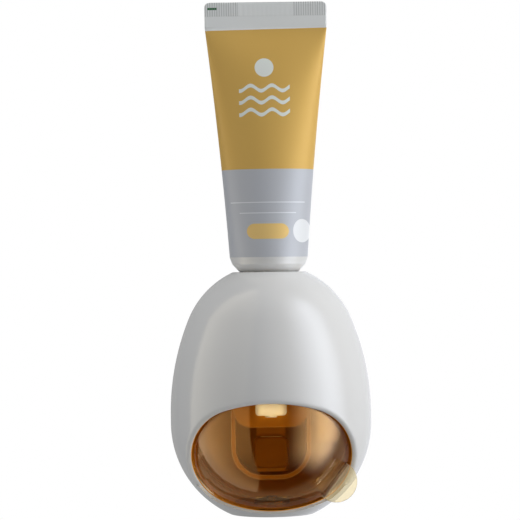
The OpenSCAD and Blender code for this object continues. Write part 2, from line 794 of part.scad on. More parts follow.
module tube_head() color("white") in_egg() {
    root_r = neck_r - 0.6;
    bead_pitch = 2.2;
    difference() {
        union() {
            rotate_extrude() polygon([[0, shoulder_w], [tube_r, shoulder_w],
                [tube_r - 1.1, shoulder_w - shoulder_lip],
                [crown_hole_r - 0.6, shoulder_w - shoulder_fall],
                [neck_r + 1.6, shoulder_w - head_drop + 1.5], [neck_r, shoulder_w - head_drop],
                [root_r, shoulder_w - head_drop], [root_r, neck_low_w], [0, neck_low_w]]);
            // ribs of the screw neck
            for (i = [0 : floor(neck_h / bead_pitch) - 1])
                translate([0, 0, neck_low_w + 1 + i * bead_pitch]) rotate_extrude()
                    polygon([[root_r - 0.2, -0.2], [neck_r, 0.4], [neck_r, 0.7], [root_r - 0.2, 1.3]]);
        }
        translate([0, 0, neck_low_w - over]) cylinder(r = root_r - 1.8, h = neck_h + head_room);
    }
}

adhesive_pad();
wall_plate();
front_shell();
rear_cover();
cover_guide();
chassis();
pump_cover();
nozzle();
outlet_valve();
squeeze_bulb();
inlet_valve();
inlet_sleeve();
sleeve_nut();
lever_pin();
pin_clips();
return_spring();
cover_washer();
cover_screw();
chassis_screws();
rear_screws();
dust_cover();
push_lever();
push_pad();
tube_body();
tube_head();
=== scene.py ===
"""Looks of the wall-mounted toothpaste dispenser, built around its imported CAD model.

Lengths are in millimetres unless a line says otherwise, in the egg's own frame: x to
the right, v towards the wall, w up, with the origin on the egg's axis at its belly.
"""
import math

import bmesh
import bpy
from mathutils import Matrix, Vector
from mathutils.geometry import delaunay_2d_cdt


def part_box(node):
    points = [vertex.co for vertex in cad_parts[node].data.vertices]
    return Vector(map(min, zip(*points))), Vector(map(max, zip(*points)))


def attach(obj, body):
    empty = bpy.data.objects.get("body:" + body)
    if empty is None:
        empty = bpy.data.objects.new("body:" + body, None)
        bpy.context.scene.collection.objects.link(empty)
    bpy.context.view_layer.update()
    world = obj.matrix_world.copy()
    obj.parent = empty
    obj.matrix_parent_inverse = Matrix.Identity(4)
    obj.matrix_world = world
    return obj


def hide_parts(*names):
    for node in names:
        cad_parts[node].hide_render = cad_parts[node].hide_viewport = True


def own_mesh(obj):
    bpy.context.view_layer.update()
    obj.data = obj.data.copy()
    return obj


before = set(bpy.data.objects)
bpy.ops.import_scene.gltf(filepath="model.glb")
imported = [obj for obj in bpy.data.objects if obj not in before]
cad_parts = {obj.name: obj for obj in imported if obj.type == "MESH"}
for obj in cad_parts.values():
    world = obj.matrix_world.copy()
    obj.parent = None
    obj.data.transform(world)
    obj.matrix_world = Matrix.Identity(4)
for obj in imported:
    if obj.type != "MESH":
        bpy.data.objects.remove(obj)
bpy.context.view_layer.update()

# Millimetre in metres, and the origin of the egg's frame
MM = 0.001
AXIS_Y = -49.4
BELLY_Z = -6.0

# Egg: radii of its three arcs, straight band under the belly, crown and base
BELLY_R, FLANK_R, CROWN_R = 45.0, 111.0, 39.5
BAND_H, TOP_H, BASE_H = 4.0, 63.5, 44.792
FLANK_X = BELLY_R - FLANK_R
CROWN_W = 27.5
WALL = 2.4
FLOOR_W = WALL - BASE_H
# The outer skin lies this far under the solid's
OUT = 0.1
# Hole for the tube, its rounded lip, and the seam of the two shells
HOLE_R, LIP_R = 14.3, 1.0
SEAM_V = 18.0
# Spacing of the points of the outer and the inner skin
FINE_STEP, COARSE_STEP = 1.2, 1.8

# Mouth: end arcs, top and bottom, and the roll of its rim
MOUTH_END_X, MOUTH_END_W, MOUTH_END_R = 13.3, -17.3, 21.8
MOUTH_TOP, MOUTH_LOW = 6.6, -41.6
MOUTH_POINTS = 300
ROLL, ROLL_STEPS = 1.9, 7

# Bosses in the front shell: places (x, w), their end v, and the pilot hole
BOSS_R, BOSS_BEVEL, PILOT_R, PILOT_DEEP = 3.0, 0.3, 1.12, 6.0
TRAY_BOSSES = [(-22, 17), (-22, 34), (22, 17), (22, 34)]
SEAM_BOSSES = [(-30, 25), (30, 25)]
TRAY_BOSS_V, SEAM_BOSS_V = 14, 18
PIVOT_FOOT_R, PIVOT_R, PIVOT_H = 7.0, 4.0, 2.5

# Dust cover: how far under the egg, its wall, half angle, top, bore and hub
COVER_O, COVER_T = 2.9, 2.0
COVER_HALF = math.radians(70)
COVER_TOP = 11.0
BORE_R, HUB_MID_R, HUB_R = 4.05, 8.0, 17.0

# Finger tab: middle of its straight side, tilt, front face, thickness, radius and web
TAB_X, TAB_W, TAB_TILT = 28.07, -28.57, math.radians(37.5)
TAB_FRONT, TAB_T, TAB_R = 26.77, 1.6, 9.2
TAB_ARC, TAB_EDGE = math.radians(158), 0.35
WEB_T, WEB_HALF, WEB_BACK_V = 1.1, 8.7, -8.5

# Tube: foot, end of the taper, end of the crimp, radius and half width of the crimp
TUBE_LOW, TUBE_HIGH, TUBE_END = 70.0, 173.0, 184.4
TUBE_R, CRIMP_HALF, CRIMP_T, CRIMP_CORNER = 17.5, 27.4, 0.62, 2.0
RIB_PITCH, RIB_H, PLAIN_HALF = 1.05, 0.09, 12.4


def place(x, v, w):
    """A point of the egg's frame, in metres in the part's frame."""
    return Vector((x * MM, (v + AXIS_Y) * MM, (w + BELLY_Z) * MM))


def crown_low(o=0.0):
    """Height at which the flank's arc meets the crown's, for the profile drawn inward by o."""
    return CROWN_W + (CROWN_R - o) * CROWN_W / (FLANK_R - CROWN_R)


def egg_r(o, w):
    """Radius of the egg drawn inward by o, at the height w."""
    if w < -BAND_H:
        return math.sqrt(max((BELLY_R - o) ** 2 - (w + BAND_H) ** 2, 0))
    if w < 0:
        return BELLY_R - o
    if w < crown_low(o):
        return FLANK_X + math.sqrt((FLANK_R - o) ** 2 - w * w)
    return math.sqrt(max((CROWN_R - o) ** 2 - (w - CROWN_W) ** 2, 0))


def egg_normal(x, v, w):
    """Outward normal of the egg's surface at a point on it or under it."""
    r = math.hypot(x, v) or 1e-9
    if w < -BAND_H:
        a, b = r, w + BAND_H
    elif w < 0:
        a, b = 1, 0
    elif w < crown_low():
        a, b = r - FLANK_X, w
    else:
        a, b = r, w - CROWN_W
    n = math.hypot(a, b)
    return Vector((x / r * a / n, v / r * a / n, b / n))


def new_object(name, mesh, body, mats, replaces=()):
    """A piece that rides on a body, its materials and the nodes it stands for."""
    obj = bpy.data.objects.new(name, mesh)
    bpy.context.scene.collection.objects.link(obj)
    for m in mats:
        mesh.materials.append(m)
    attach(obj, body)
    if replaces:
        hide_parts(*replaces)
    return obj


def mesh_of(name, verts, faces):
    """Smooth mesh of points in metres."""
    mesh = bpy.data.meshes.new(name)
    mesh.from_pydata([tuple(v) for v in verts], [], faces)
    mesh.validate()
    for p in mesh.polygons:
        p.use_smooth = True
    return mesh


def sharpen(mesh, degrees=35):
    """Marks the edges that bend more than this as sharp."""
    bm = bmesh.new()
    bm.from_mesh(mesh)
    bmesh.ops.recalc_face_normals(bm, faces=bm.faces)
    for e in bm.edges:
        if len(e.link_faces) == 2:
            e.smooth = e.calc_face_angle() < math.radians(degrees)
    bm.to_mesh(mesh)
    bm.free()


# Materials


class Nodes:
    """Short way to build a node material."""

    def __init__(self, name):
        self.mat = bpy.data.materials.new(name)
        self.mat.use_nodes = True
        self.tree = self.mat.node_tree
        self.shader = self.tree.nodes["Principled BSDF"]

    def add(self, kind, **sockets):
        n = self.tree.nodes.new(kind)
        for k, v in sockets.items():
            self.put(n.inputs[k.replace("__", " ")], v)
        return n

    def put(self, socket, value):
        if isinstance(value, bpy.types.NodeSocket):
            self.tree.links.new(value, socket)
        else:
            socket.default_value = value

    def math(self, op, *values):
        n = self.tree.nodes.new("ShaderNodeMath")
        n.operation = op
        for s, v in zip(n.inputs, values):
            self.put(s, v)
        return n.outputs[0]

    def coords(self):
        return self.tree.nodes.new("ShaderNodeTexCoord").outputs["Object"]

    def noise(self, scale, detail=2.0, stretch=None):
        v = self.coords()
        if stretch:
            m = self.add("ShaderNodeMapping", Vector=v)
            m.inputs["Scale"].default_value = stretch
            v = m.outputs[0]
        return self.add("ShaderNodeTexNoise", Vector=v, Scale=scale, Detail=detail).outputs["Fac"]

    def between(self, fac, low, high):
        ends = {"From Min": 0.0, "From Max": 1.0, "To Min": low, "To Max": high}
        return self.add("ShaderNodeMapRange", Value=fac, **ends).outputs[0]

    def mix(self, fac, a, b):
        n = self.tree.nodes.new("ShaderNodeMix")
        n.data_type = "RGBA"
        self.put(n.inputs[0], fac)
        self.put(n.inputs[6], a)
        self.put(n.inputs[7], b)
        return n.outputs[2]

    def bump(self, height, strength, distance):
        n = self.add("ShaderNodeBump", Height=height, Strength=strength, Distance=distance)
        self.put(self.shader.inputs["Normal"], n.outputs[0])

    def set(self, **sockets):
        for k, v in sockets.items():
            self.put(self.shader.inputs[k.replace("__", " ")], v)


def grey(v):
    return (v, v, v, 1)


def tint(r, g, b):
    return (r, g, b, 1)


# Plastics up to this index are the dull ones inside the egg
MATT_IOR = 1.2


def plastic(name, colour, rough, spread=0.05, grain=700.0, bump=0.12, ior=1.46, subsurface=0.0):
    """Moulded plastic: slight cloudiness in its colour and gloss, and a fine skin."""
    n = Nodes(name)
    cloud = n.noise(38.0, 3.0)
    dark = tuple(c * (1 - spread) for c in colour[:3]) + (1,)
    gloss = n.between(n.noise(160.0, 2.0), rough * 0.85, rough * 1.15)
    n.set(Base__Color=n.mix(cloud, dark, colour), Roughness=gloss, Subsurface__Weight=subsurface)
    n.set(IOR=ior, Specular__IOR__Level=0.5 if ior > MATT_IOR else 0.1)
    n.shader.inputs["Subsurface Radius"].default_value = (0.004, 0.0035, 0.003)
    n.shader.inputs["Subsurface Scale"].default_value = 0.5
    n.bump(n.noise(grain, 2.0), bump, 0.00004)
    return n.mat


def metal(name, colour, rough):
    """Drawn metal with fine streaks."""
    n = Nodes(name)
    streak = n.noise(300.0, 2.0, stretch=(1, 1, 12))
    n.set(Base__Color=colour, Metallic=1.0, Roughness=n.between(streak, rough * 0.7, rough * 1.4))
    n.bump(streak, 0.1, 0.00005)
    return n.mat


def amber(name, colour, rough=0.03, clear=1.0, ior=1.44):
    """Tinted clear plastic, of which the share clear lets light through."""
    n = Nodes(name)
    cloud = n.noise(30.0, 2.0)
    dark = tuple(c * 0.97 for c in colour[:3]) + (1,)
    gloss = n.between(n.noise(200.0), rough * 0.6, rough * 1.4)
    n.set(Base__Color=n.mix(cloud, dark, colour), Roughness=gloss)
    n.set(Transmission__Weight=clear, IOR=ior, Specular__Tint=tint(1.0, 0.64, 0.30))
    n.bump(n.noise(40.0, 1.0), 0.004, 0.0001)
    return n.mat


MAT = {
    "gloss_white": plastic("gloss_white_abs", tint(0.80, 0.80, 0.795), 0.17, 0.02, 900.0, 0.04, ior=1.3),
    "inner_amber": plastic("inner_amber_abs", tint(0.60, 0.245, 0.028), 0.4, 0.10, 300.0, 0.0, ior=1.12),
    # painted amber-brown for the white shell's inside: it stands in for the amber-tinted light and shade
    # within the egg
    "inner_shell": plastic("inner_shell_painted_amber_light", tint(0.85, 0.37, 0.045), 0.4, 0.10, 300.0, 0.0, ior=1.12),
    "white": plastic("white_abs", tint(0.74, 0.74, 0.72), 0.38),
    "dark": plastic("push_pad_abs", tint(0.33, 0.12, 0.011), 0.4, 0.12, 300.0, 0.0, ior=1.12),
    "silicone": plastic("silicone", tint(0.90, 0.86, 0.78), 0.45, 0.04, 500.0, 0.1, subsurface=0.4),
    "tube_white": plastic("tube_white", tint(0.80, 0.80, 0.79), 0.34, 0.03, subsurface=0.15),
    "foam": plastic("foam_tape", tint(0.60, 0.60, 0.58), 0.85, 0.25, 2200.0, 0.8),
    "steel": metal("steel", tint(0.62, 0.61, 0.59), 0.28),
    # steel darkened to a brown tone, for the cover's washer and screw
    "darkened_steel": metal("steel_darkened_brown", tint(0.22, 0.10, 0.035), 0.35),
    "amber": amber("amber_clear", tint(0.90, 0.71, 0.42)),
    "amber_tab": amber("amber_tab", tint(1.0, 0.90, 0.66), 0.04, 0.85, 1.1),
}


# Print of the tube, in millimetres on its front face: levels of the fields, and the
# slope of the foil's edge
GOLD_LOW, FOIL_LOW, FOIL_SLOPE = 109.0, 172.2, -0.016
PILL_X, PILL_W, PILL_HALF, PILL_R = -0.3, 81.4, 5.9, 3.4
SEAL_X, SEAL_W, SEAL_HALF, SEAL_HIGH = 14.9, 81.5, 4.0, 5.2
RULE_X, RULE_T = -0.2, 0.22
RULES = ((94.2, 16.5), (89.5, 12.5))
SIGN_X, DISC_W, DISC_R = -1.0, 154.5, 4.2
WAVE_LENGTH, WAVE_H, WAVE_HALF, WAVE_T = 9.5, 1.2, 11.3, 0.85
WAVE_LOW, WAVE_PITCH, WAVES_MID, WAVES_HALF = 129.0, 2.7, 139.8, 6.6
MARK_X, MARK_W, MARK_HALF, MARK_T = -24.0, 181.6, 2.1, 0.5
RIBS_LOW, RIB_SHADE = 178.2, 0.22
# How sharp the print's edges are, per metre
CRISP = 12000.0


def tube_material():
    """Printed laminate: gold above, silver grey below, bare silver at the crimp."""
    n = Nodes("laminate_print")
    x, y, z = n.add("ShaderNodeSeparateXYZ", Vector=n.coords()).outputs
    shade = n.noise(9.0, 2.0, stretch=(3.0, 1.0, 0.6))
    gold = n.mix(shade, tint(0.70, 0.43, 0.105), tint(0.80, 0.52, 0.155))
    silver = n.mix(shade, tint(0.52, 0.54, 0.59), tint(0.60, 0.62, 0.66))
    foil = n.mix(shade, tint(0.84, 0.87, 0.87), tint(0.94, 0.96, 0.96))
    front = n.math("LESS_THAN", y, AXIS_Y * MM)
    height = n.math("SUBTRACT", z, BELLY_Z * MM)

    def step(v):
        return n.add("ShaderNodeClamp", Value=n.math("ADD", v, 0.5)).outputs[0]

    def above(level, slope=0.0):
        """Mask of what lies above a level, which may slope along x."""
        line = n.math("SUBTRACT", n.math("ADD", z, n.math("MULTIPLY", x, slope)), (level + BELLY_Z) * MM)
        return step(n.math("MULTIPLY", line, CRISP))

    def inside(distance):
        """Mask of where the distance in metres is above nought, on the front."""
        return n.math("MULTIPLY", step(n.math("MULTIPLY", distance, CRISP)), front)

    def away(axis, at):
        """Distance in metres along one axis from a place in millimetres."""
        return n.math("ABSOLUTE", n.math("SUBTRACT", axis, at * MM))

    def within(reach, distance):
        return n.math("SUBTRACT", reach * MM, distance)

    def length(a, b):
        return n.math("SQRT", n.math("ADD", n.math("MULTIPLY", a, a), n.math("MULTIPLY", b, b)))

    def both(a, b):
        return n.math("MINIMUM", a, b)

    colour = n.mix(above(GOLD_LOW), silver, gold)
    colour = n.mix(above(FOIL_LOW, FOIL_SLOPE), colour, foil)
    # plain gold pill low on the front
    px = n.math("MAXIMUM", n.math("SUBTRACT", away(x, PILL_X), PILL_HALF * MM), 0.0)
    pill = within(PILL_R, length(px, away(height, PILL_W)))
    colour = n.mix(inside(pill), colour, tint(0.92, 0.64, 0.24))
    # round plain seal at its right
    across = n.math("DIVIDE", away(x, SEAL_X), SEAL_HALF * MM)
    upward = n.math("DIVIDE", away(height, SEAL_W), SEAL_HIGH * MM)
    seal = n.math("MULTIPLY", n.math("SUBTRACT", 1.0, length(across, upward)), SEAL_HALF * MM)
    colour = n.mix(inside(seal), colour, tint(0.88, 0.90, 0.92))
    # two thin rules above the pill
    for level, half in RULES:
        rule = both(within(half, away(x, RULE_X)), within(RULE_T, away(height, level)))
        colour = n.mix(inside(rule), colour, tint(0.80, 0.82, 0.86))
    # common water sign on the gold: a disc over three waves
    disc = within(DISC_R, length(away(x, SIGN_X), away(height, DISC_W)))
    swing = n.math("SINE", n.math("MULTIPLY", x, 2 * math.pi / (WAVE_LENGTH * MM)))
    level = n.math("SUBTRACT", height, n.math("MULTIPLY", swing, WAVE_H * MM))
    row = n.math("PINGPONG", n.math("SUBTRACT", level, WAVE_LOW * MM), WAVE_PITCH * MM)
    waves = both(within(WAVE_T, row), within(WAVE_HALF, away(x, SIGN_X)))
    waves = both(waves, within(WAVES_HALF, away(level, WAVES_MID)))
    colour = n.mix(inside(n.math("MAXIMUM", disc, waves)), colour, tint(0.86, 0.90, 0.86))
    # small register mark at the left of the crimp
    mark = both(within(MARK_HALF, away(x, MARK_X)), within(MARK_T, away(height, MARK_W)))
    colour = n.mix(inside(mark), colour, tint(0.02, 0.16, 0.05))
    # shaded ribs at the two ends of the crimp
    stripe = n.math("SINE", n.math("MULTIPLY", x, 2 * math.pi / (RIB_PITCH * MM)))
    rib = n.math("MULTIPLY", above(RIBS_LOW), n.math("GREATER_THAN", away(x, 0.0), PLAIN_HALF * MM))
    shadow = n.math("MULTIPLY", n.math("MULTIPLY", n.math("ADD", stripe, 1.0), RIB_SHADE), rib)
    colour = n.mix(shadow, colour, tint(0.30, 0.31, 0.31))
    n.set(Base__Color=colour, Metallic=0.01, IOR=1.24, Roughness=n.between(n.noise(120.0), 0.34, 0.42))
    n.bump(n.noise(1500.0, 2.0), 0.08, 0.00005)
    return n.mat


MAT["tube"] = tube_material()



# The base's outside stays white up to here, and the rear cover is painted amber-brown inside this, for the
# amber-tinted light and shade within the egg
BASE_SKIN = 0.6
REAR_BROWN_IN, REAR_BROWN_TOP = 1.0, 30.0


def rear_material():
    """White outside, and painted amber-brown within the egg's inner skin, standing in for the amber-tinted
    light and shade there; told apart by the place.
    """
    n = Nodes("rear_cover_white_painted_amber_inside")
    x, y, z = n.add("ShaderNodeSeparateXYZ", Vector=n.coords()).outputs
    v = n.math("SUBTRACT", y, AXIS_Y * MM)
    w = n.math("SUBTRACT", z, BELLY_Z * MM)

    def square(a):
        return n.math("MULTIPLY", a, a)

    # distance from the middle of the band below it, and about the flank's reach above it
    low = n.math("MINIMUM", n.math("ADD", w, BAND_H * MM), 0.0)
    high = n.math("MAXIMUM", w, 0.0)
    squares = n.math("ADD", n.math("ADD", square(x), square(v)), square(low))
    fall = n.math("MULTIPLY", square(high), 0.5 / (FLANK_R * MM))
    reach = n.math("ADD", n.math("SQRT", squares), fall)
    between = n.math("MULTIPLY", n.math("LESS_THAN", w, REAR_BROWN_TOP * MM),
                     n.math("GREATER_THAN", w, (BASE_SKIN - BASE_H) * MM))
    inside = n.math("MULTIPLY", n.math("LESS_THAN", reach, (BELLY_R - REAR_BROWN_IN) * MM), between)
    cloud = n.noise(38.0, 3.0)
    white = n.mix(cloud, tint(0.785, 0.785, 0.78), tint(0.80, 0.80, 0.795))
    # painted amber-brown: stands in for the amber-tinted light and shade inside the egg
    brown = n.mix(cloud, tint(0.77, 0.33, 0.04), tint(0.85, 0.37, 0.045))
    n.set(Base__Color=n.mix(inside, white, brown), Roughness=n.between(n.noise(160.0), 0.15, 0.2), IOR=1.25)
    n.bump(n.noise(900.0), 0.05, 0.00004)
    return n.mat


MAT["rear"] = rear_material()
# lighter amber of the edge beads: a painted highlight along those edges
MAT["edge"] = plastic("bead_painted_highlight", tint(0.78, 0.52, 0.22), 0.25)

CAD_LOOK = {
    "foam": ("adhesive_pad",),
    "white": ("wall_plate", "cover_guide", "sleeve_nut"),
    "gloss_white": ("front_shell",),
    "rear": ("rear_cover",),
    "inner_amber": ("chassis", "pump_cover", "push_lever"),
    "dark": ("push_pad",),
    "silicone": ("nozzle", "outlet_valve", "squeeze_bulb", "inlet_valve", "inlet_sleeve"),
    "steel": ("lever_pin", "pin_clips", "return_spring", "chassis_screws", "rear_screws"),
    "darkened_steel": ("cover_washer", "cover_screw"),
    "tube_white": ("tube_head",),
    "amber": ("dust_cover",),
    "tube": ("tube_body",),
}
for look, names in CAD_LOOK.items():
    for name in names:
        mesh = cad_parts[name].data
        mesh.materials.clear()
        mesh.materials.append(MAT[look])


# Soft pieces, each put in as a copy of its own that rides on the dispenser in place of the node:
# node, slot, the depth in millimetres that stays still, and the share that it keeps
SOFT = (("squeeze_bulb", "silicone", -52.4, 0.5), ("return_spring", "steel", -32.5, 0.38))
for name, slot, still, keep in SOFT:
    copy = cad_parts[name].data.copy()
    piece = new_object(name + "_soft", copy, "dispenser", [], [name])
    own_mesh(piece)


# Front shell


def mouth_outline(count):
    """Points of the mouth's outline in the x-w plane, by its four arcs."""
    ex, ew, er = MOUTH_END_X, MOUTH_END_W, MOUTH_END_R

    def broad(reach):
        # arc through (0, reach) above the ends' centres, tangent to both end arcs
        return (reach * reach - er * er + ex * ex) / (2 * (reach - er))

    up, low = MOUTH_TOP - ew, ew - MOUTH_LOW
    top_r, low_r = broad(up), broad(low)
    pts = []

    def arc(cx, cw, r, a0, a1):
        n = max(int(abs(a1 - a0) * r / 0.15), 8)
        for k in range(n):
            a = a0 + (a1 - a0) * k / n
            pts.append((cx + r * math.cos(a), cw + r * math.sin(a)))

    at = math.asin(ex / (top_r - er))
    al = math.asin(ex / (low_r - er))
    arc(0, MOUTH_TOP - top_r, top_r, math.pi / 2 - at, math.pi / 2 + at)
    arc(-ex, ew, er, math.pi / 2 + at, 1.5 * math.pi - al)
    arc(0, MOUTH_LOW + low_r, low_r, 1.5 * math.pi - al, 1.5 * math.pi + al)
    arc(ex, ew, er, 1.5 * math.pi + al, 2.5 * math.pi - at)
    # even spacing
    closed = pts + pts[:1]
    run = [0.0]
    for a, b in zip(closed, closed[1:]):
        run.append(run[-1] + math.dist(a, b))
    out, j = [], 0
    for k in range(count):
        t = run[-1] * k / count
        while run[j + 1] < t:
            j += 1
        f = (t - run[j]) / max(run[j + 1] - run[j], 1e-9)
        a, b = closed[j], closed[j + 1]
        out.append((a[0] + (b[0] - a[0]) * f, a[1] + (b[1] - a[1]) * f))
    return out


def on_surface(p, o=0.0):
    """The point of the egg's surface, drawn inward by o, that lies along the normal through p."""
    w, r = p.z, math.hypot(p.x, p.y)
    if w < -BAND_H:
        cx, cw, cr = 0.0, -BAND_H, BELLY_R
    elif w < 0:
        cx, cw, cr = r - BELLY_R, w, BELLY_R
    elif w < crown_low():
        cx, cw, cr = FLANK_X, 0.0, FLANK_R
    else:
        cx, cw, cr = 0.0, CROWN_W, CROWN_R
    f = (cr - o) / math.hypot(r - cx, w - cw)
    rr, ww = cx + (r - cx) * f, cw + (w - cw) * f
    if 0 > w >= -BAND_H:
        rr = BELLY_R - o
    return Vector((p.x * rr / max(r, 1e-9), p.y * rr / max(r, 1e-9), ww))


def mouth_rings(count):
    """Rows of points round the mouth, each from the outer skin over the rolled rim to the inner skin."""
    inner = []
    for x, w in mouth_outline(count):
        r = max(egg_r(WALL, w), abs(x) + 0.05)
        inner.append(Vector((x, -math.sqrt(r * r - x * x), w)))
    edge = [on_surface(p + egg_normal(*p) * WALL, OUT) for p in inner]
    rows = []
    mid = Vector((0, 0, MOUTH_END_W))
    for k in range(count):
        p = edge[k]
        along = (edge[(k + 1) % count] - edge[k - 1]).normalized()
        out = along.cross(egg_normal(*p))
        if out.dot(p - mid) < 0:
            out = -out
        row = []
        for j in range(ROLL_STEPS + 1):
            a = math.pi / 2 * j / ROLL_STEPS
            flat = on_surface(p + out * ROLL * (1 - math.sin(a)), OUT)
            row.append(flat - egg_normal(*flat) * ROLL * (1 - math.cos(a)))
        row.append(on_surface(p, WALL))
        rows.append(row)
    return rows


def skin(o, hole, step):
    """One skin of the egg, drawn inward by o, round the mouth's loop. The loop's points come first."""
    rows, length = profile(o, step)
    last, half = len(rows) - 1, math.pi * (BELLY_R - o)
    around = 2 * int(half / step)
    heights = [w for _, w in rows]

    def s_of(w):
        j = next((j for j in range(last) if heights[j] <= w <= heights[j + 1]), None)
        if j is None:
            return 0.0 if w < heights[0] else length
        return (j + (w - heights[j]) / (heights[j + 1] - heights[j])) * length / last

    loop = [(math.atan2(p.x, -p.y) * (BELLY_R - o), s_of(p.z)) for p in hole]
    count = len(loop)

    def inside(q):
        odd = False
        for (x0, y0), (x1, y1) in zip(loop, loop[1:] + loop[:1]):
            if (y0 > q[1]) != (y1 > q[1]) and q[0] < (x1 - x0) * (q[1] - y0) / (y1 - y0) + x0:
                odd = not odd
        return odd

    grid = [(-half + 2 * half * i / around, length * j / last)
            for j in range(last + 1) for i in range(around)]
    verts = list(hole)
    for j, (r, w) in enumerate(rows):
        for i in range(around):
            a = (-half + 2 * half * i / around) / (BELLY_R - o)
            verts.append(Vector((r * math.sin(a), -r * math.cos(a), w)))

    def number(i, j):
        return count + j * around + i % around

    us, ss = [q[0] for q in loop], [q[1] for q in loop]
    i0 = int((min(us) + half) / (2 * half) * around) - 2
    i1 = int((max(us) + half) / (2 * half) * around) + 3
    j0 = max(int(min(ss) / length * last) - 2, 0)
    j1 = min(int(max(ss) / length * last) + 3, last)
    faces = []
    for j in range(last):
        for i in range(around):
            if not (i0 <= i < i1 and j0 <= j < j1):
                faces.append((number(i, j), number(i + 1, j), number(i + 1, j + 1), number(i, j + 1)))
    flat, ids = [Vector(q) for q in loop], list(range(count))
    cells = {}
    for q in loop:
        cells.setdefault((int(q[0] // step), int(q[1] // step)), []).append(q)
    for j in range(j0, j1 + 1):
        for i in range(i0, i1 + 1):
            q = grid[j * around + i]
            if i0 < i < i1 and j0 < j < j1:
                a, b = int(q[0] // step), int(q[1] // step)
                close = (h for c in (-1, 0, 1) for d in (-1, 0, 1) for h in cells.get((a + c, b + d), ()))
                if any(math.dist(q, h) < 0.5 * step for h in close) or inside(q):
                    continue
            flat.append(Vector(q))
            ids.append(number(i, j))
    ring = [(k, (k + 1) % count) for k in range(count)]
    _, _, cut, source, _, _ = delaunay_2d_cdt(flat, ring, [], 0, 1e-6, True)
    for f in cut:
        olds = [source[i][0] for i in f]
        mid = (sum(flat[i].x for i in olds) / 3, sum(flat[i].y for i in olds) / 3)
        if not inside(mid):
            faces.append(tuple(ids[i] for i in olds))
    low = [number(i, 0) for i in range(around)]
    top = [number(i, last) for i in range(around)]
    return verts, faces, low, top


class Build:
    """Collects vertices and faces in the egg's own frame."""

    def __init__(self):
        self.verts, self.faces = [], []

    def points(self, pts):
        start = len(self.verts)
        self.verts.extend(pts)
        return list(range(start, len(self.verts)))

    def add(self, verts, faces):
        start = len(self.verts)
        self.verts.extend(verts)
        self.faces.extend(tuple(start + i for i in f) for f in faces)
        return start

    def strip(self, a, b):
        """Faces between two closed rings of as many points."""
        n = len(a)
        for i in range(n):
            j = (i + 1) % n
            self.faces.append((a[i], a[j], b[j], b[i]))

    def lathe(self, outline, centre=(0, 0), segments=64, axis="w"):
        """Closed ring or disc turned from a closed outline of (r, height) points."""
        def at(c, s, h):
            p, q = centre[0] + c, centre[1] + s
            return Vector((p, q, h) if axis == "w" else (p, h, q))

        rings = []
        for r, h in outline:
            if r < 1e-6:
                rings.append(self.points([at(0, 0, h)]))
                continue
            angles = [2 * math.pi * k / segments for k in range(segments)]
            rings.append(self.points([at(r * math.cos(a), r * math.sin(a), h) for a in angles]))
        pairs = list(zip(rings, rings[1:])) + ([(rings[-1], rings[0])] if len(rings[0]) > 1 else [])
        for a, b in pairs:
            if len(a) == 1 or len(b) == 1:
                tip, rim = (a[0], b) if len(a) == 1 else (b[0], a)
                if len(rim) > 1:
                    self.faces.extend((rim[i], rim[(i + 1) % segments], tip) for i in range(segments))
            else:
                self.strip(a, b)

    def mesh(self, name, degrees=35):
        mesh = mesh_of(name, [place(*p) for p in self.verts], self.faces)
        sharpen(mesh, degrees)
        return mesh


def shell_build():
    """The whole egg as one closed hollow body with its mouth and the tube's hole."""
    b = Build()
    rows = mouth_rings(MOUTH_POINTS)
    step = FINE_STEP
    outer_verts, outer_faces, outer_low, outer_top = skin(OUT, [r[0] for r in rows], step)
    inner_verts, inner_faces, inner_low, inner_top = skin(WALL, [r[-1] for r in rows], COARSE_STEP)
    outer = b.add(outer_verts, outer_faces)
    inner = b.add(inner_verts, inner_faces)
    # rolled rim of the mouth
    rim = [[outer + k for k in range(MOUTH_POINTS)]]
    for j in range(1, ROLL_STEPS + 1):
        rim.append(b.points([r[j] for r in rows]))
    rim.append([inner + k for k in range(MOUTH_POINTS)])
    for a, c in zip(rim, rim[1:]):
        b.strip(a, c)

    def ring(like, start, r, w):
        """Round ring whose points have the angles of the ring like."""
        pts = []
        for i in like:
            p = b.verts[start + i]
            h = math.hypot(p.x, p.y)
            pts.append(Vector((p.x * r / h, p.y * r / h, w)))
        return b.points(pts)

    # lip of the crown's hole
    lip = [[outer + i for i in outer_top]]
    lip.append(ring(outer_top, outer, HOLE_R + LIP_R + 0.3, TOP_H - OUT))
    for k in range(1, 5):
        a = math.pi / 2 * k / 4
        r, w = HOLE_R + LIP_R * (1 - math.sin(a)), TOP_H - OUT - LIP_R * (1 - math.cos(a))
        lip.append(ring(outer_top, outer, r, w))
    lip.append(ring(outer_top, outer, HOLE_R, TOP_H - WALL + 0.2))
    for a, c in zip(lip, lip[1:]):
        b.strip(a, c)
    bridge(b, lip[-1], [inner + i for i in inner_top])
    # flat base
    for ids, start, w in ((outer_low, outer, OUT - BASE_H), (inner_low, inner, FLOOR_W)):
        last = [start + i for i in ids]
        for r in (8.0, 4.0):
            nxt = ring(ids, start, r, w)
            b.strip(last, nxt)
            last = nxt
        tip = b.points([Vector((0, 0, w))])[0]
        b.faces.extend((last[i], last[(i + 1) % len(last)], tip) for i in range(len(last)))
    return b


def bridge(b, a, c):
    """Faces between two rings round the egg's axis that have different numbers of points."""
    def angle(i):
        return math.atan2(b.verts[i].y, b.verts[i].x) % (2 * math.pi)
    a, c = sorted(a, key=angle), sorted(c, key=angle)
    i = j = 0
    while i < len(a) or j < len(c):
        ai = angle(a[i]) if i < len(a) else 9e9
        cj = angle(c[j]) if j < len(c) else 9e9
        if ai <= cj:
            b.faces.append((a[i], a[(i + 1) % len(a)], c[j % len(c)]))
            i += 1
        else:
            b.faces.append((a[i % len(a)], c[(j + 1) % len(c)], c[j]))
            j += 1


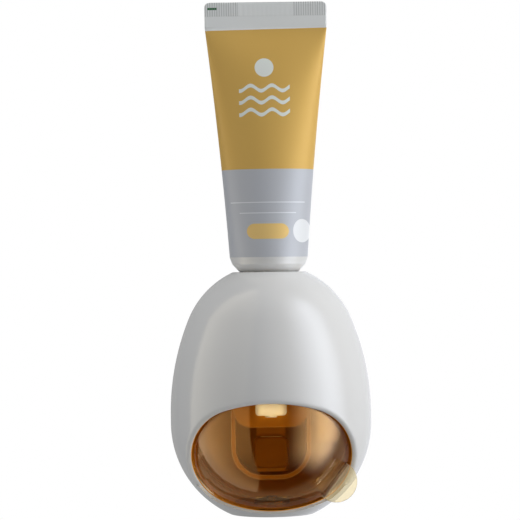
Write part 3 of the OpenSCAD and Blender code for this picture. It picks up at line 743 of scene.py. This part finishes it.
def cut_behind(mesh, v):
    """Takes away what lies behind the plane v and closes the cut."""
    bm = bmesh.new()
    bm.from_mesh(mesh)
    bmesh.ops.bisect_plane(bm, geom=bm.verts[:] + bm.edges[:] + bm.faces[:], dist=1e-7,
                           plane_co=place(0, v, 0), plane_no=(0, 1, 0), clear_outer=True)
    rim = [e for e in bm.edges if e.is_boundary]
    bmesh.ops.triangle_fill(bm, edges=rim, use_beauty=True)
    bmesh.ops.recalc_face_normals(bm, faces=bm.faces)
    bm.to_mesh(mesh)
    bm.free()


def profile(o, step):
    """Even points (r, w) of the egg's profile drawn inward by o, from its flat base up to its flat top."""
    fine, n = [], 3000
    w0, w1 = o - BASE_H, TOP_H - o
    for k in range(n + 1):
        w = w0 + (w1 - w0) * (1 - math.cos(math.pi * k / n)) / 2
        fine.append((egg_r(o, w), w))
    return even(fine, step)


def even(line, step):
    """The same line with even spacing close to step, and its length."""
    run = [0.0]
    for a, b in zip(line, line[1:]):
        run.append(run[-1] + math.dist(a, b))
    count = max(int(run[-1] / step), 1)
    out, j = [], 0
    for k in range(count + 1):
        t = run[-1] * k / count
        while j < len(line) - 2 and run[j + 1] < t:
            j += 1
        f = (t - run[j]) / max(run[j + 1] - run[j], 1e-12)
        out.append(tuple(p + (q - p) * f for p, q in zip(line[j], line[j + 1])))
    return out, run[-1]


def bosses():
    """Screw bosses and the pivot boss of the front shell."""
    b = Build()
    places = [(x, w, TRAY_BOSS_V) for x, w in TRAY_BOSSES] + [(x, w, SEAM_BOSS_V) for x, w in SEAM_BOSSES]
    for x, w, end in places:
        root = -math.sqrt(egg_r(1.2, w + BOSS_R) ** 2 - (abs(x) + BOSS_R) ** 2)
        b.lathe([(BOSS_R, root), (BOSS_R, end - BOSS_BEVEL), (BOSS_R - BOSS_BEVEL, end), (PILOT_R, end),
                 (PILOT_R, end - PILOT_DEEP), (0, end - PILOT_DEEP), (0, root)], (x, w), 40, "v")
    foot = FLOOR_W + 0.45
    b.lathe([(PIVOT_FOOT_R, FLOOR_W - 0.5), (PIVOT_FOOT_R, foot), (PIVOT_R, foot),
             (PIVOT_R, FLOOR_W + PIVOT_H), (0, FLOOR_W + PIVOT_H), (0, FLOOR_W - 0.5)])
    return b.mesh("bosses")


def make_front_shell():
    """White outside; the inside is painted amber-brown, standing in for the amber-tinted light and shade
    within the egg. Slot 1 of the materials is the inside.
    """
    mesh = shell_build().mesh("front_shell_skin")
    cut_behind(mesh, SEAM_V)
    bm = bmesh.new()
    bm.from_mesh(mesh)
    bm.from_mesh(bosses())
    bmesh.ops.delete(bm, geom=[v for v in bm.verts if not v.link_faces], context="VERTS")
    bm.to_mesh(mesh)
    bm.free()
    sharpen(mesh)
    for f in mesh.polygons:
        c = f.center / MM - Vector((0, AXIS_Y, BELLY_Z))
        deep = (on_surface(c) - c).length > 2.0
        f.material_index = int(deep and BASE_SKIN - BASE_H < c.z < 45)
    mats = [MAT["gloss_white"], MAT["inner_shell"]]
    return new_object("front_shell_body", mesh, "dispenser", mats, ["front_shell"])


make_front_shell()


# Dust cover


def cover_dome():
    """The dome on its flat floor ring with the bore for the pivot."""
    fall, parts = COVER_TOP - COVER_O + BASE_H, 600
    heights = [COVER_TOP - fall * math.sin(math.pi / 2 * k / parts) for k in range(parts + 1)]
    outer = even([(egg_r(COVER_O, w), w) for w in heights], 1.0)[0][::-1]
    under = COVER_O + COVER_T
    inner = []
    for r, w in outer:
        p = on_surface(Vector((r, 0, w)), under)
        inner.append((p.x, max(p.z, under - BASE_H)))
    inner[0] = (inner[0][0], under - BASE_H)
    low = [(r, COVER_O - BASE_H) for r in (BORE_R, HUB_MID_R, HUB_R)]
    high = [(r, under - BASE_H) for r in (BORE_R, HUB_MID_R, HUB_R)]
    b = Build()
    # the dome spans the first angles, and the floor ring alone spans the rest
    dome, rest = 140, 60
    angles = [-COVER_HALF + 2 * COVER_HALF * k / dome for k in range(dome + 1)]
    angles += [COVER_HALF + (2 * math.pi - 2 * COVER_HALF) * k / rest for k in range(1, rest)]

    def turned(line, a):
        return b.points([Vector((r * math.sin(a), -r * math.cos(a), w)) for r, w in line])

    rows = []
    for k, a in enumerate(angles):
        row = {"low": turned(low, a), "high": turned(high, a)}
        if k <= dome:
            row["out"] = turned(outer, a)
            row["in"] = turned(inner, a)
        rows.append(row)
    for k, p in enumerate(rows):
        q = rows[(k + 1) % len(rows)]
        for part in ("low", "high"):
            for i in range(2):
                b.faces.append((p[part][i], q[part][i], q[part][i + 1], p[part][i + 1]))
        b.faces.append((p["low"][0], q["low"][0], q["high"][0], p["high"][0]))
        if k < dome:
            chain_p = [p["low"][2]] + p["out"] + p["in"][::-1] + [p["high"][2]]
            chain_q = [q["low"][2]] + q["out"] + q["in"][::-1] + [q["high"][2]]
            for i in range(len(chain_p) - 1):
                b.faces.append((chain_p[i], chain_q[i], chain_q[i + 1], chain_p[i + 1]))
        else:
            b.faces.append((p["low"][2], q["low"][2], q["high"][2], p["high"][2]))
    # the dome's two upright edges
    for k in (0, dome):
        a = [rows[k]["low"][2]] + rows[k]["out"]
        c = [rows[k]["high"][2]] + rows[k]["in"]
        for i in range(len(a) - 1):
            b.faces.append((a[i], a[i + 1], c[i + 1], c[i]))
    return b.mesh("dust_cover_dome", 30)


def on_tab(x, v, w):
    """A point of the tab's own tilted plane in the egg's frame."""
    c, s = math.cos(TAB_TILT), math.sin(TAB_TILT)
    return Vector((TAB_X + x * c + w * s, v, TAB_W - x * s + w * c))


def finger_tab():
    """Half disc with soft edges."""
    b = Build()
    turns = [TAB_ARC * (k / 60 - 0.5) for k in range(61)]
    front, back = -TAB_FRONT, TAB_T - TAB_FRONT
    soft = 0.1
    outlines = [(TAB_EDGE, front), (soft, front + soft), (0, front + TAB_EDGE),
                (0, back - TAB_EDGE), (soft, back - soft), (TAB_EDGE, back)]
    rings = []
    for inset, v in outlines:
        r = TAB_R - inset
        pts = [on_tab(r * math.cos(a), v, r * math.sin(a)) for a in turns]
        end = r * math.sin(turns[-1]) - 0.02
        pts += [on_tab(inset - WEB_T, v, end), on_tab(inset - WEB_T, v, -end)]
        rings.append(b.points(pts))
    for p, q in zip(rings, rings[1:]):
        b.strip(p, q)
    b.faces += [tuple(rings[0][::-1]), tuple(rings[-1])]
    return b.mesh("finger_tab", 40)


def finger_web():
    """Plate from the tab back to the dome."""
    b = Build()
    loop = [(-WEB_T, -WEB_HALF), (0, -WEB_HALF), (0, WEB_HALF), (-WEB_T, WEB_HALF)]
    front = b.points([on_tab(x, 0.8 - TAB_FRONT, w) for x, w in loop])
    back = b.points([on_tab(x, WEB_BACK_V, w) for x, w in loop])
    b.strip(front, back)
    b.faces += [tuple(front[::-1]), tuple(back)]
    return b.mesh("finger_web", 40)


def web_cutter():
    """What the web doesn't reach into: all within the middle of the dome's wall."""
    b = Build()
    o = COVER_O + COVER_T / 2
    b.lathe([(0, o - BASE_H)] + profile(o, 1.5)[0] + [(0, TOP_H - o)], segments=160)
    return b.mesh("web_cutter")


def boolean(obj, other, operation):
    """Joins or cuts a mesh for good."""
    m = obj.modifiers.new("join", "BOOLEAN")
    m.object, m.operation, m.solver = other, operation, "EXACT"
    bpy.context.view_layer.update()
    done = bpy.data.meshes.new_from_object(obj.evaluated_get(bpy.context.evaluated_depsgraph_get()))
    obj.modifiers.clear()
    done.name = obj.data.name
    obj.data = done


def make_dust_cover():
    """Dome and tab in one; slot 1 of the materials is what stands out of the egg."""
    objs = []
    for mesh in (cover_dome(), finger_tab(), finger_web(), web_cutter()):
        objs.append(bpy.data.objects.new(mesh.name, mesh))
        bpy.context.scene.collection.objects.link(objs[-1])
    dome, tab, web, cutter = objs
    boolean(web, cutter, "DIFFERENCE")
    boolean(tab, web, "UNION")
    boolean(dome, tab, "UNION")
    mesh = dome.data
    for o in objs:
        bpy.data.objects.remove(o)
    sharpen(mesh, 30)
    for p in mesh.polygons:
        p.use_smooth = True
        c = p.center / MM - Vector((0, AXIS_Y, BELLY_Z))
        p.material_index = int((c - on_surface(c)).dot(egg_normal(*c)) > -0.3)
    mats = [MAT["amber"], MAT["amber_tab"]]
    cover = new_object("amber_cover", mesh, "dust_cover", mats, ["dust_cover"])
    # clear plastic lets the lamps in
    cover.visible_shadow = False


make_dust_cover()


# Lighter beads along the front edges of the tray, the pump cover and the pad: painted highlight lines


def bead(name, path, v, radius, around, body):
    """Thin round bead along a path of (x, w) points at one depth."""
    b = Build()
    rings = []
    for i, (x, w) in enumerate(path):
        x0, w0 = path[max(i - 1, 0)]
        x1, w1 = path[min(i + 1, len(path) - 1)]
        n = math.hypot(x1 - x0, w1 - w0)
        nx, nw = (w1 - w0) / n, -(x1 - x0) / n
        pts = []
        for k in range(around):
            q = 2 * math.pi * k / around
            c, s = radius * math.cos(q), radius * math.sin(q)
            pts.append(Vector((x + nx * c, v + s, w + nw * c)))
        rings.append(b.points(pts))
    for p, q in zip(rings, rings[1:]):
        b.strip(p, q)
    b.faces += [tuple(rings[0][::-1]), tuple(rings[-1])]
    return new_object(name, b.mesh(name, 60), body, [MAT["edge"]])


def u_line(half, low, high, corner):
    """Points of a U from its left top to its right top."""
    quarter = [math.pi / 2 * k / 16 for k in range(17)]
    side = high - low - corner
    path = [(-half, high - side * k / 12) for k in range(13)]
    path += [(-half + corner * (1 - math.cos(a)), low + corner * (1 - math.sin(a))) for a in quarter[1:]]
    path += [(-half + corner + 2 * (half - corner) * k / 6, low) for k in range(1, 6)]
    path += [(half - corner * (1 - math.sin(a)), low + corner * (1 - math.cos(a))) for a in quarter]
    path += [(half, low + corner + side * k / 12) for k in range(1, 13)]
    return path


TRAY_EDGE_V, PUMP_EDGE_V = 3.05, -11.4
bead("tray_edge_outer", u_line(17.85, -30.05, 22.0, 13.85), TRAY_EDGE_V, 0.12, 10, "dispenser")
bead("tray_edge_inner", u_line(16.1, -28.3, 22.0, 12.1), TRAY_EDGE_V, 0.09, 10, "dispenser")
bead("pump_cover_edge", u_line(16.45, -5.45, 30.0, 7.85), PUMP_EDGE_V, 0.11, 10, "dispenser")

# the pad's top edge gets the same painted highlight line
pad_low, pad_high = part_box("push_pad")
PAD_EDGE_HALF = 4.8
PAD_EDGE_V = pad_low[1] / MM - AXIS_Y + 0.35
PAD_EDGE_W = pad_high[2] / MM - BELLY_Z - 0.1
pad_line = [(-PAD_EDGE_HALF, PAD_EDGE_W), (PAD_EDGE_HALF, PAD_EDGE_W)]
bead("push_pad_edge", pad_line, PAD_EDGE_V, 0.16, 8, "push_lever")


# Tube


def ellipse_depth(a, around):
    """Half depth of an ellipse of half width a whose outline is that long."""
    least, most = 0.05, TUBE_R
    for _ in range(40):
        b = (least + most) / 2
        p = math.pi * (3 * (a + b) - math.sqrt((3 * a + b) * (a + 3 * b)))
        least, most = (b, most) if p < around else (least, b)
    return b


def tube_section(w):
    """Half width, half depth and squareness of the tube at the height w."""
    t = (w - TUBE_LOW) / (TUBE_HIGH - TUBE_LOW)
    if t >= 1:
        a, left = CRIMP_HALF, TUBE_END - w
        if left < CRIMP_CORNER:
            a -= CRIMP_CORNER - math.sqrt(max(CRIMP_CORNER ** 2 - (CRIMP_CORNER - left) ** 2, 0))
        return a, CRIMP_T, 1.0
    a = TUBE_R + (CRIMP_HALF - TUBE_R) * (t - 0.27 * t * (1 - t))
    b = ellipse_depth(a, 2 * math.pi * TUBE_R)
    full = CRIMP_T + (b - CRIMP_T) * (1 - t ** 14)
    return a, max(full, CRIMP_T), t ** 10


def tube_point(w, angle):
    """Point of the sleeve, which goes from a round foot to the flat ribbed crimp."""
    a, d, flat = tube_section(w)
    c, s = math.cos(angle), math.sin(angle)
    if w <= TUBE_HIGH:
        return Vector((a * math.copysign(abs(c) ** (1 - 0.55 * flat), c),
                       d * math.copysign(abs(s) ** (1 - 0.75 * flat), s), w))
    x, rib = a * c, 0.0
    if TUBE_HIGH + 5.4 < w < TUBE_END - 0.7:
        rib = RIB_H * abs(math.sin(2 * math.pi * x / RIB_PITCH))
    return Vector((x, math.copysign((d + rib) * min(abs(s) * 6, 1.0), s), w))


def make_tube():
    b = Build()
    around = 240
    # the bend into the crimp and the crimp have the closest rings
    bend, foot = TUBE_HIGH - 6, TUBE_LOW + 0.4
    heights = [TUBE_LOW] + [foot + (bend - foot) * k / 80 for k in range(81)]
    heights += [bend + 6 * k / 18 for k in range(1, 19)]
    heights += [TUBE_HIGH + (TUBE_END - TUBE_HIGH) * k / 40 for k in range(1, 41)]
    turns = [2 * math.pi * k / around for k in range(around)]
    rings = [b.points([tube_point(w, a) for a in turns]) for w in heights]
    for p, q in zip(rings, rings[1:]):
        b.strip(p, q)
    b.faces += [tuple(rings[-1]), tuple(rings[0][::-1])]
    mesh = b.mesh("tube_sleeve", 50)
    return new_object("tube_laminate", mesh, "tube", [MAT["tube"]], ["tube_body"])


make_tube()


# Camera, light and stage

VIEW_FROM = 1.0
FIELD = 0.2334
CAMERA_X, CAMERA_Z = -0.0040, 0.0590
LEAN = math.radians(0.78)
cam_data = bpy.data.cameras.new("camera")
cam_data.sensor_fit = "HORIZONTAL"
cam_data.angle = 2 * math.atan(FIELD / 2 / VIEW_FROM)
cam_data.shift_y = 0.016
cam_data.clip_start, cam_data.clip_end = 0.01, 30
cam = bpy.data.objects.new("camera", cam_data)
bpy.context.scene.collection.objects.link(cam)
upright = Matrix.Rotation(LEAN, 4, "Y") @ Matrix.Rotation(math.radians(90), 4, "X")
cam.matrix_world = Matrix.Translation((CAMERA_X, AXIS_Y * MM - VIEW_FROM, CAMERA_Z)) @ upright
bpy.context.scene.camera = cam


def area_lamp(name, at, aim, size, power, spread=180):
    """Rectangular lamp that no gloss shows."""
    data = bpy.data.lights.new(name, "AREA")
    data.shape = "RECTANGLE"
    data.size, data.size_y = size
    data.energy, data.spread = power, math.radians(spread)
    lamp = bpy.data.objects.new(name, data)
    bpy.context.scene.collection.objects.link(lamp)
    turned = (aim - at).to_track_quat("-Z", "Y").to_matrix().to_4x4()
    lamp.matrix_world = Matrix.Translation(at) @ turned
    lamp.visible_glossy = False
    return lamp


# name, azimuth in degrees, height over the aim, distance, size, power
LAMPS = [
    ("right_box", 78, 0.15, 1.3, (0.9, 1.3), 11.2),
    ("top_box", 20, 1.3, 0.15, (0.8, 0.8), 5),
    ("left_box", -110, 0.0, 1.3, (0.8, 1.3), 3.4),
]
lamp_aim = Vector((0, AXIS_Y * MM, 0.03))
for name, azimuth, height, distance, size, power in LAMPS:
    a = math.radians(azimuth)
    away = Vector((math.sin(a) * distance, -math.cos(a) * distance, height))
    area_lamp(name, lamp_aim + away, lamp_aim, size, power)
# narrow beam through the mouth on to the nozzle
beam = area_lamp("nozzle_beam", place(0, -300, 1.0), place(0, -21, 2.2), (0.011, 0.0045), 0.00019, 1.5)
beam.visible_camera = beam.visible_transmission = False

# World: even fill for matt light, white where it is seen or shows through, and
# for gloss two large soft panels at the sides in a dark studio
RIGHT_LEVEL, LEFT_LEVEL, DARK_LEVEL, FILL_LEVEL, THROUGH_LEVEL = 10.0, 3.9, 0.015, 0.36, 0.8
world = bpy.data.worlds.new("studio")
bpy.context.scene.world = world
world.use_nodes = True
wt = world.node_tree
wt.nodes.clear()


def wmath(op, a, b=0.0):
    n = wt.nodes.new("ShaderNodeMath")
    n.operation = op
    for s, v in zip(n.inputs, (a, b)):
        if isinstance(v, bpy.types.NodeSocket):
            wt.links.new(v, s)
        else:
            s.default_value = v
    return n.outputs[0]


def fade(value, low, high, to_low=0.0, to_high=1.0):
    """Soft step of the value between low and high."""
    n = wt.nodes.new("ShaderNodeMapRange")
    n.interpolation_type = "SMOOTHSTEP"
    wt.links.new(value, n.inputs["Value"])
    for k, v in zip(("From Min", "From Max", "To Min", "To Max"), (low, high, to_low, to_high)):
        n.inputs[k].default_value = v
    return n.outputs[0]


def product(*values):
    out = values[0]
    for v in values[1:]:
        out = wmath("MULTIPLY", out, v)
    return out


coord = wt.nodes.new("ShaderNodeTexCoord")
split = wt.nodes.new("ShaderNodeSeparateXYZ")
wt.links.new(coord.outputs["Generated"], split.inputs[0])
dx, dy, dz = split.outputs
turn = wmath("ARCTAN2", dx, wmath("MULTIPLY", dy, -1.0))
deg = math.radians(1)
right_panel = product(fade(turn, 18 * deg, 72 * deg), fade(turn, 72 * deg, 100 * deg, 1, 0.05),
                      fade(dz, -0.85, -0.40), fade(dz, 0.75, 0.98, 1, 0), RIGHT_LEVEL)
left_fall = fade(turn, -100 * deg, -30 * deg, LEFT_LEVEL, LEFT_LEVEL * 0.45)
left_panel = product(fade(turn, -27.5 * deg, -25.5 * deg, 1, 0), fade(turn, -107 * deg, -102 * deg),
                     fade(dx, -0.22, -0.19, 1, 0), left_fall, fade(dz, -0.95, -0.3, 0.5, 1.0))
behind = wmath("ADD", fade(dy, 0.65, 0.95, 0.0, 0.28), DARK_LEVEL)
path = wt.nodes.new("ShaderNodeLightPath")


def background(colour, strength):
    n = wt.nodes.new("ShaderNodeBackground")
    n.inputs["Color"].default_value = colour
    if isinstance(strength, bpy.types.NodeSocket):
        wt.links.new(strength, n.inputs["Strength"])
    else:
        n.inputs["Strength"].default_value = strength
    return n.outputs[0]


def choose(fac, a, b):
    n = wt.nodes.new("ShaderNodeMixShader")
    wt.links.new(fac, n.inputs[0])
    wt.links.new(a, n.inputs[1])
    wt.links.new(b, n.inputs[2])
    return n.outputs[0]


panels = wt.nodes.new("ShaderNodeAddShader")
wt.links.new(background(tint(0.92, 0.97, 1.08), right_panel), panels.inputs[0])
wt.links.new(background(tint(1.0, 0.90, 0.70), left_panel), panels.inputs[1])
room = wt.nodes.new("ShaderNodeAddShader")
wt.links.new(panels.outputs[0], room.inputs[0])
wt.links.new(background(grey(1.0), behind), room.inputs[1])
fill = background(tint(0.98, 0.99, 1.0), FILL_LEVEL)
white = background(grey(1.0), 1.0)
# what shows through the clear cover: plain white, or the room in front where it
# comes by a gloss; light that a matt surface gets through it is the even fill again
mirrored = wmath("GREATER_THAN", path.outputs["Glossy Depth"], 0.5)
through = choose(mirrored, white, choose(fade(dy, -0.05, 0.15), room.outputs[0], white))
spread_light = wmath("GREATER_THAN", path.outputs["Diffuse Depth"], 0.5)
through = choose(spread_light, through, background(grey(1.0), THROUGH_LEVEL))
sky = choose(path.outputs["Is Glossy Ray"], fill, room.outputs[0])
sky = choose(path.outputs["Is Transmission Ray"], sky, through)
out = wt.nodes.new("ShaderNodeOutputWorld")
wt.links.new(choose(path.outputs["Is Camera Ray"], sky, white), out.inputs[0])

bpy.context.scene.view_settings.view_transform = "Standard"
